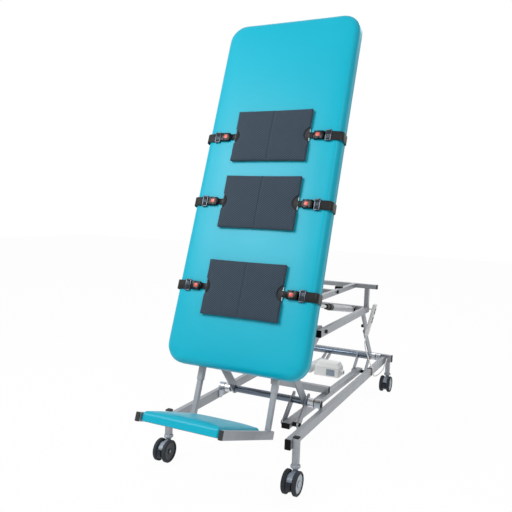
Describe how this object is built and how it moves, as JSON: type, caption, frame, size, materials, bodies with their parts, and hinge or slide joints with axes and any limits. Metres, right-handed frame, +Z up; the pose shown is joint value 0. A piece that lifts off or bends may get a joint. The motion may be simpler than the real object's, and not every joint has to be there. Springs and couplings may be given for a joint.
{
  "type": "rehabilitation standing frame",
  "caption": "Electric tilt-table standing frame: padded board with body straps and a footrest on a wheeled steel base with a lever lift, telescopic actuators, braked casters and a handset.",
  "frame": {"origin": "on the floor, under the middle of the frame's footprint as stored, with the board raised and its footrest out", "axes": "+X across the bed, +Y towards the rear end of the base, +Z up; the padded face looks towards -Y"},
  "size_m": [0.7872, 2.2953, 2.363],
  "materials": {
    "frame_steel": "silver-grey powder coat, satin",
    "shaft_chrome": "ground and polished",
    "black_plastic": "matte moulded",
    "caster_collar": "satin moulded",
    "caster_plastic": "satin moulded",
    "pedal_plastic": "satin moulded",
    "caster_tread": "soft grey tread",
    "white_plastic": "satin moulded",
    "key_plastic": "matte moulded",
    "cord_jacket": "smooth jacket",
    "plywood": "sealed birch ply",
    "teal_vinyl": "soft vinyl, fine grain",
    "webbing": "woven webbing",
    "pad_nylon": "woven nylon",
    "button_plastic": "moulded"
  },
  "bodies": {
    "base": {"base_rail_left": "frame_steel", "base_rail_right": "frame_steel", "base_rear_crossbar": "frame_steel", "caster_posts": "frame_steel", "base_caps_and_bolts": "black_plastic", "shaft_bearings": "frame_steel", "caster_stems": "caster_collar", "handset_cord_loop": "cord_jacket"},
    "rear_lift": {"rear_lift_shaft": "shaft_chrome", "rear_lift_arms": "frame_steel", "rear_cranks": "frame_steel"},
    "front_lift": {"front_lift_shaft": "shaft_chrome", "front_lift_arms": "frame_steel", "front_cranks": "frame_steel"},
    "carriage": {"carriage_side_bars": "frame_steel", "carriage_upper_frame": "frame_steel", "hanger_plates": "frame_steel", "carriage_caps_and_bolts": "black_plastic", "handset": "white_plastic", "handset_cord_upper": "cord_jacket"},
    "tie": {"tie_rod": "frame_steel", "tie_rod_caps_and_bolts": "black_plastic"},
    "lift_actuator_body": {"lift_actuator": "white_plastic", "control_box": "white_plastic"},
    "lift_rod": {"lift_actuator_rod": "shaft_chrome"},
    "tilt_actuator_body": {"tilt_actuator": "white_plastic"},
    "tilt_rod": {"tilt_actuator_rod": "shaft_chrome"},
    "board": {"board_panel": "plywood", "board_upholstery": "teal_vinyl", "board_subframe": "frame_steel", "strap_webbing": "webbing", "strap_buckles": "black_plastic", "strap_rings": "shaft_chrome", "strap_pads": "pad_nylon"},
    "footrest": {"footrest_frame": "frame_steel", "footrest_pad": "teal_vinyl"},
    "key_lift": {"handset_key_lift": "key_plastic"},
    "key_tilt": {"handset_key_tilt": "key_plastic"},
    "caster_fl": {"caster_hood_fl": "caster_plastic"},
    "pedal_fl": {"caster_pedal_fl": "pedal_plastic"},
    "wheel_fl_outer": {"caster_wheel_fl_outer": "caster_tread"},
    "wheel_fl_inner": {"caster_wheel_fl_inner": "caster_tread"},
    "caster_fr": {"caster_hood_fr": "caster_plastic"},
    "pedal_fr": {"caster_pedal_fr": "pedal_plastic"},
    "wheel_fr_outer": {"caster_wheel_fr_outer": "caster_tread"},
    "wheel_fr_inner": {"caster_wheel_fr_inner": "caster_tread"},
    "caster_rl": {"caster_hood_rl": "caster_plastic"},
    "pedal_rl": {"caster_pedal_rl": "pedal_plastic"},
    "wheel_rl_outer": {"caster_wheel_rl_outer": "caster_tread"},
    "wheel_rl_inner": {"caster_wheel_rl_inner": "caster_tread"},
    "caster_rr": {"caster_hood_rr": "caster_plastic"},
    "pedal_rr": {"caster_pedal_rr": "pedal_plastic"},
    "wheel_rr_outer": {"caster_wheel_rr_outer": "caster_tread"},
    "wheel_rr_inner": {"caster_wheel_rr_inner": "caster_tread"},
    "button_chest_left": {"buckle_button_chest_left": "button_plastic"},
    "button_chest_right": {"buckle_button_chest_right": "button_plastic"},
    "button_hip_left": {"buckle_button_hip_left": "button_plastic"},
    "button_hip_right": {"buckle_button_hip_right": "button_plastic"},
    "button_knee_left": {"buckle_button_knee_left": "button_plastic"},
    "button_knee_right": {"buckle_button_knee_right": "button_plastic"}
  },
  "joints": [
    {"name": "rear_lift_turn", "type": "hinge", "parent": "base", "child": "rear_lift", "pos_m": [0, 1.0812, 0.249], "axis": [-1, 0, 0], "range_deg": [-34, 24]},
    {"name": "front_lift_turn", "type": "hinge", "parent": "base", "child": "front_lift", "pos_m": [0, -0.2158, 0.274], "axis": [-1, 0, 0], "range_deg": [-34.5, 24.5]},
    {"name": "carriage_level", "type": "hinge", "parent": "rear_lift", "child": "carriage", "pos_m": [0, 0.8852, 0.471], "axis": [-1, 0, 0], "range_deg": [-24.5, 34.5], "deforming": ["handset_cord_upper"]},
    {"name": "tie_rod_level", "type": "hinge", "parent": "front_lift", "child": "tie", "pos_m": [0, -0.3228, 0.178], "axis": [-1, 0, 0], "range_deg": [-24.5, 34.5]},
    {"name": "lift_actuator_swing", "type": "hinge", "parent": "base", "child": "lift_actuator_body", "pos_m": [-0.11, 1.0242, 0.175], "axis": [-1, 0, 0], "range_deg": [-4.89, 3.54]},
    {"name": "lift_actuator_stroke", "type": "slide", "parent": "lift_actuator_body", "child": "lift_rod", "axis": [0, -0.9991, 0.0413], "range_m": [-0.06103, 0.04323]},
    {"name": "board_tilt", "type": "hinge", "parent": "carriage", "child": "board", "pos_m": [0, -0.4038, 0.7], "axis": [-1, 0, 0], "range_deg": [-14, 71.15]},
    {"name": "tilt_actuator_swing", "type": "hinge", "parent": "carriage", "child": "tilt_actuator_body", "pos_m": [0.175, 0.7242, 0.643], "axis": [-1, 0, 0], "range_deg": [-1.05, 0.37]},
    {"name": "tilt_actuator_stroke", "type": "slide", "parent": "tilt_actuator_body", "child": "tilt_rod", "axis": [0, -0.9852, 0.1712], "range_m": [-0.17269, 0.03438]},
    {"name": "footrest_slide", "type": "slide", "parent": "board", "child": "footrest", "axis": [0, 0.3231, 0.9464], "range_m": [0, 0.12]},
    {"name": "key_lift_rock", "type": "hinge", "parent": "carriage", "child": "key_lift", "pos_m": [0.31197, 0.8232, 0.62921], "axis": [0, 1, 0], "range_deg": [-4, 4], "stiffness_Nm_per_rad": 0.5},
    {"name": "key_tilt_rock", "type": "hinge", "parent": "carriage", "child": "key_tilt", "pos_m": [0.29757, 0.8232, 0.56685], "axis": [0, 1, 0], "range_deg": [-4, 4], "stiffness_Nm_per_rad": 0.5},
    {"name": "button_chest_left_press", "type": "slide", "parent": "board", "child": "button_chest_left", "axis": [0, 0.9464, -0.3231], "range_m": [0, 0.003], "stiffness_N_per_m": 800},
    {"name": "button_chest_right_press", "type": "slide", "parent": "board", "child": "button_chest_right", "axis": [0, 0.9464, -0.3231], "range_m": [0, 0.003], "stiffness_N_per_m": 800},
    {"name": "button_hip_left_press", "type": "slide", "parent": "board", "child": "button_hip_left", "axis": [0, 0.9464, -0.3231], "range_m": [0, 0.003], "stiffness_N_per_m": 800},
    {"name": "button_hip_right_press", "type": "slide", "parent": "board", "child": "button_hip_right", "axis": [0, 0.9464, -0.3231], "range_m": [0, 0.003], "stiffness_N_per_m": 800},
    {"name": "button_knee_left_press", "type": "slide", "parent": "board", "child": "button_knee_left", "axis": [0, 0.9464, -0.3231], "range_m": [0, 0.003], "stiffness_N_per_m": 800},
    {"name": "button_knee_right_press", "type": "slide", "parent": "board", "child": "button_knee_right", "axis": [0, 0.9464, -0.3231], "range_m": [0, 0.003], "stiffness_N_per_m": 800},
    {"name": "caster_fl_swivel", "type": "hinge", "parent": "base", "child": "caster_fl", "pos_m": [-0.355, -0.6758, 0.09], "axis": [0, 0, 1], "continuous": true},
    {"name": "pedal_fl_press", "type": "hinge", "parent": "caster_fl", "child": "pedal_fl", "pos_m": [-0.355, -0.7098, 0.057], "axis": [1, 0, 0], "range_deg": [0, 18]},
    {"name": "wheel_fl_outer_roll", "type": "hinge", "parent": "caster_fl", "child": "wheel_fl_outer", "pos_m": [-0.355, -0.7098, 0.057], "axis": [1, 0, 0], "continuous": true},
    {"name": "wheel_fl_inner_roll", "type": "hinge", "parent": "caster_fl", "child": "wheel_fl_inner", "pos_m": [-0.355, -0.7098, 0.057], "axis": [1, 0, 0], "continuous": true},
    {"name": "caster_fr_swivel", "type": "hinge", "parent": "base", "child": "caster_fr", "pos_m": [0.355, -0.6758, 0.09], "axis": [0, 0, 1], "continuous": true},
    {"name": "pedal_fr_press", "type": "hinge", "parent": "caster_fr", "child": "pedal_fr", "pos_m": [0.355, -0.7098, 0.057], "axis": [1, 0, 0], "range_deg": [0, 18]},
    {"name": "wheel_fr_outer_roll", "type": "hinge", "parent": "caster_fr", "child": "wheel_fr_outer", "pos_m": [0.355, -0.7098, 0.057], "axis": [1, 0, 0], "continuous": true},
    {"name": "wheel_fr_inner_roll", "type": "hinge", "parent": "caster_fr", "child": "wheel_fr_inner", "pos_m": [0.355, -0.7098, 0.057], "axis": [1, 0, 0], "continuous": true},
    {"name": "caster_rl_swivel", "type": "hinge", "parent": "base", "child": "caster_rl", "pos_m": [-0.355, 1.1242, 0.09], "axis": [0, 0, 1], "continuous": true},
    {"name": "pedal_rl_press", "type": "hinge", "parent": "caster_rl", "child": "pedal_rl", "pos_m": [-0.355, 1.0902, 0.057], "axis": [1, 0, 0], "range_deg": [0, 18]},
    {"name": "wheel_rl_outer_roll", "type": "hinge", "parent": "caster_rl", "child": "wheel_rl_outer", "pos_m": [-0.355, 1.0902, 0.057], "axis": [1, 0, 0], "continuous": true},
    {"name": "wheel_rl_inner_roll", "type": "hinge", "parent": "caster_rl", "child": "wheel_rl_inner", "pos_m": [-0.355, 1.0902, 0.057], "axis": [1, 0, 0], "continuous": true},
    {"name": "caster_rr_swivel", "type": "hinge", "parent": "base", "child": "caster_rr", "pos_m": [0.355, 1.1242, 0.09], "axis": [0, 0, 1], "continuous": true},
    {"name": "pedal_rr_press", "type": "hinge", "parent": "caster_rr", "child": "pedal_rr", "pos_m": [0.355, 1.0902, 0.057], "axis": [1, 0, 0], "range_deg": [0, 18]},
    {"name": "wheel_rr_outer_roll", "type": "hinge", "parent": "caster_rr", "child": "wheel_rr_outer", "pos_m": [0.355, 1.0902, 0.057], "axis": [1, 0, 0], "continuous": true},
    {"name": "wheel_rr_inner_roll", "type": "hinge", "parent": "caster_rr", "child": "wheel_rr_inner", "pos_m": [0.355, 1.0902, 0.057], "axis": [1, 0, 0], "continuous": true}
  ],
  "couplings": [
    {"joint": "front_lift_turn", "follows": "rear_lift_turn", "ratio": 1},
    {"joint": "carriage_level", "follows": "rear_lift_turn", "ratio": -1},
    {"joint": "tie_rod_level", "follows": "rear_lift_turn", "ratio": -1},
    {"joint": "lift_actuator_swing", "follows": "rear_lift_turn", "ratio": 0.135},
    {"joint": "lift_actuator_stroke", "follows": "rear_lift_turn", "m_per_rad": 0.102},
    {"joint": "tilt_actuator_swing", "follows": "board_tilt", "ratio": -0.012},
    {"joint": "tilt_actuator_stroke", "follows": "board_tilt", "m_per_rad": -0.13866}
  ]
}
